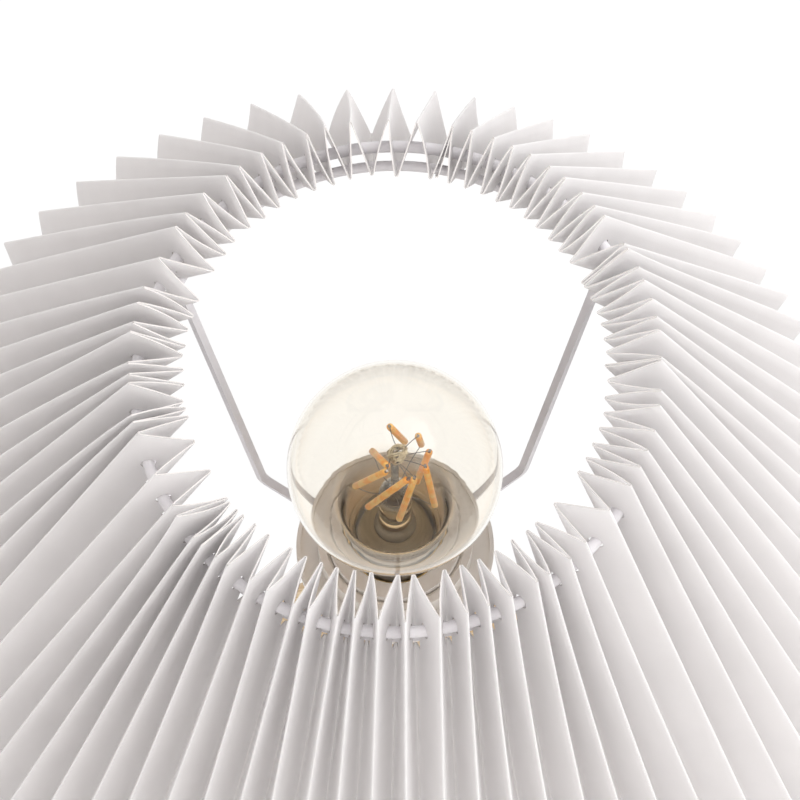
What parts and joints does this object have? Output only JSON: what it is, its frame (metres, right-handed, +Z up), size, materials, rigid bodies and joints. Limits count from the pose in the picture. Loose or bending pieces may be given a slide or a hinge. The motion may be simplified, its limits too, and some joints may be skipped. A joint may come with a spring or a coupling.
{
  "type": "table lamp with a pleated paper shade",
  "caption": "Table lamp: a flared pleated paper shade on a wire frame over a screw-in bulb, on a slim wooden column and a round foot.",
  "frame": {"origin": "middle of the flat face that rests on the table, on the lamp's axis", "axes": "+Z up along the lamp's axis, -Y towards the camera, +X to the right in the picture"},
  "size_m": [0.2888, 0.2888, 0.3896],
  "materials": {
    "felt": "matt felt",
    "wood": "light wood, satin lacquer",
    "iron": "as cast",
    "steel": "zinc plated",
    "white_plastic": "moulded, satin",
    "porcelain": "glazed",
    "brass": "bare",
    "lead_brown": "insulated lead",
    "lead_blue": "insulated lead",
    "amber_glass": "clear, pale amber",
    "clear_glass": "clear",
    "cap_metal": "nickel plated",
    "black_glass": "gloss",
    "board": "circuit board with its parts",
    "filament": "coated filament stick",
    "dark_wire": "bare wire",
    "painted_frame": "white paint, satin",
    "paper": "matt pleated paper"
  },
  "bodies": {
    "root": {"felt_pad": "felt", "wooden_foot": "wood", "foot_weight": "iron", "weight_screws": "steel", "cord_inlet_bush": "white_plastic", "terminal_block": "white_plastic", "terminal_block_screws": "steel", "threaded_tube": "steel", "tube_washer": "steel", "tube_nut": "steel", "wooden_column": "wood", "column_collar": "wood", "lampholder_dome": "white_plastic", "lampholder_lock_nut": "steel", "lampholder_skirt": "white_plastic", "lampholder_insert": "porcelain", "holder_thread_shell": "brass", "holder_centre_tongue": "brass", "holder_terminal_screws": "steel", "inner_lead_live": "lead_brown", "inner_lead_neutral": "lead_blue"},
    "frame": {"shade_frame_ring": "painted_frame", "frame_carrier_ring": "painted_frame", "frame_arm_right": "painted_frame", "frame_arm_left": "painted_frame", "frame_arm_front": "painted_frame"},
    "shade": {"paper_shade": "paper", "shade_hoop": "painted_frame"},
    "retaining_ring": {"shade_retaining_ring": "white_plastic"},
    "bulb_contact": {"bulb_centre_contact": "brass"},
    "bulb": {"bulb_glass": "amber_glass", "bulb_cap": "cap_metal", "bulb_cap_insulator": "black_glass", "bulb_driver_board": "board", "bulb_stem": "clear_glass", "bulb_filaments": "filament", "bulb_support_wires": "dark_wire"}
  },
  "joints": [
    {"name": "frame_turn", "type": "hinge", "parent": "root", "child": "frame", "pos_m": [0, 0, 0.2316], "axis": [0, 0, 1], "continuous": true},
    {"name": "shade_turn", "type": "hinge", "parent": "frame", "child": "shade", "pos_m": [0, 0, 0.3651], "axis": [0, 0, 1], "continuous": true},
    {"name": "retaining_ring_turn", "type": "hinge", "parent": "root", "child": "retaining_ring", "pos_m": [0, 0, 0.2316], "axis": [0, 0, 1], "continuous": true},
    {"name": "bulb_rise", "type": "slide", "parent": "root", "child": "bulb_contact", "axis": [0, 0, 1], "range_m": [0, 0.01633]},
    {"name": "bulb_turn", "type": "hinge", "parent": "bulb_contact", "child": "bulb", "pos_m": [0, 0, 0.2245], "axis": [0, 0, 1], "range_deg": [0, 1620]}
  ],
  "couplings": [
    {"joint": "bulb_rise", "follows": "bulb_turn", "m_per_rad": 0.0005775}
  ]
}
